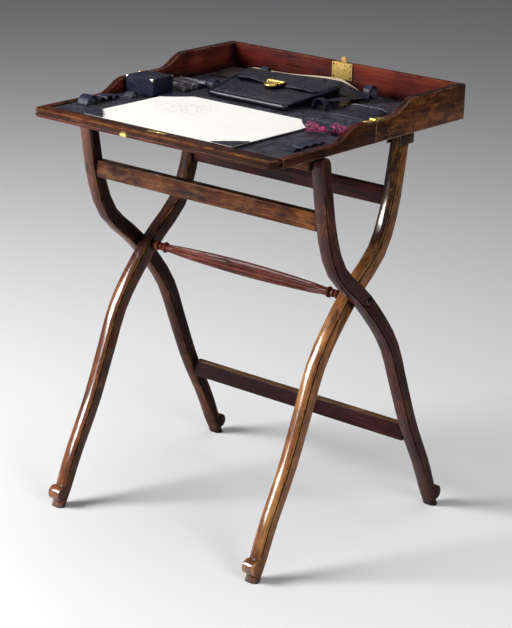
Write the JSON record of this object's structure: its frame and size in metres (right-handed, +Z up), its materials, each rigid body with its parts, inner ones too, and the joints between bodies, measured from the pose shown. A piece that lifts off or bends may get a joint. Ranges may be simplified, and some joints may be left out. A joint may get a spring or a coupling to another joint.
{
  "type": "folding writing table",
  "caption": "Folding writing table: hinged leather-lined leaves with fitted stationery close like a case on crossing S-curved legs with scroll feet and a reeded stretcher.",
  "frame": {"origin": "middle of the footprint box, on the floor under the open table", "axes": "+X to the writer's right, +Y away from the writer to the back rail, +Z up"},
  "size_m": [0.5084, 0.485, 0.7307],
  "materials": {
    "mahogany": "french polished, worn at the edges",
    "leather": "dark navy glazed leather",
    "paper": "soft blotting paper",
    "note_paper": "tan writing paper",
    "brass": "lacquered brass",
    "silk": "crimson silk thread",
    "elastic": "woven elastic",
    "glass": "clear glass"
  },
  "bodies": {
    "inner_frame": {"inner_leg_left": "mahogany", "inner_leg_right": "mahogany", "inner_top_rail": "mahogany", "stretcher": "mahogany", "pivot_bolt_left": "brass", "pivot_bolt_right": "brass", "pivot_washer_left": "brass", "pivot_washer_right": "brass"},
    "outer_frame": {"outer_leg_left": "mahogany", "outer_leg_right": "mahogany", "outer_top_rail": "mahogany", "outer_foot_rail": "mahogany", "leg_stud_left": "brass", "leg_stud_right": "brass"},
    "rear_leaf": {"rear_board": "mahogany", "rear_side_left": "mahogany", "rear_side_right": "mahogany", "rear_back": "mahogany", "rear_lining": "leather", "leaf_hinge_rear_left": "brass", "leaf_hinge_rear_right": "brass", "leg_bracket_left": "brass", "leg_bracket_right": "brass", "lock": "brass", "wallet_body": "leather", "wallet_roll": "leather", "wallet_loop_left": "leather", "wallet_loop_right": "leather", "paper_stack": "note_paper", "back_loop": "leather", "pocket_loop": "leather", "right_pocket": "leather", "left_pocket": "leather", "pen_roll": "leather"},
    "lock_bolt": {"lock_bolt": "brass"},
    "wallet_flap": {"wallet_flap": "leather", "wallet_clasp": "brass"},
    "front_leaf": {"front_board": "mahogany", "front_side_left": "mahogany", "front_side_right": "mahogany", "front_lip": "mahogany", "front_lining": "leather", "leaf_hinge_front_left": "brass", "leaf_hinge_front_right": "brass", "strike_plate": "brass", "leg_bearer": "mahogany", "blotter_board": "leather", "blotting_paper": "paper", "blotter_corner_front_left": "leather", "blotter_corner_front_right": "leather", "blotter_corner_rear_left": "leather", "blotter_corner_rear_right": "leather", "inkwell_case": "leather", "ink_bottle": "glass", "inkwell_elastic": "elastic", "pen_loops_left": "leather", "pen_loops_right": "leather", "tassel_left": "silk", "tassel_right": "silk"},
    "inkwell_lid": {"inkwell_lid": "leather"}
  },
  "joints": [
    {"name": "frame_fold", "type": "hinge", "parent": "inner_frame", "child": "outer_frame", "pos_m": [0, -0.003, 0.413], "axis": [-1, 0, 0], "range_deg": [0, 48]},
    {"name": "top_tilt", "type": "hinge", "parent": "inner_frame", "child": "rear_leaf", "pos_m": [0, 0.1165, 0.64945], "axis": [-1, 0, 0], "range_deg": [0, 96]},
    {"name": "front_leaf_fold", "type": "hinge", "parent": "rear_leaf", "child": "front_leaf", "pos_m": [0, 0.005, 0.701], "axis": [-1, 0, 0], "range_deg": [0, 180]},
    {"name": "inkwell_lid_hinge", "type": "hinge", "parent": "front_leaf", "child": "inkwell_lid", "pos_m": [-0.195, 0.001, 0.69925], "axis": [1, 0, 0], "range_deg": [-100, 0]},
    {"name": "wallet_flap_hinge", "type": "hinge", "parent": "rear_leaf", "child": "wallet_flap", "pos_m": [-0.036, 0.157, 0.7014], "axis": [1, 0, 0], "range_deg": [-100, 0]},
    {"name": "lock_bolt_slide", "type": "slide", "parent": "rear_leaf", "child": "lock_bolt", "axis": [0, 0, 1], "range_m": [-0.009, 0]}
  ],
  "couplings": [
    {"joint": "top_tilt", "follows": "frame_fold", "ratio": 2}
  ]
}
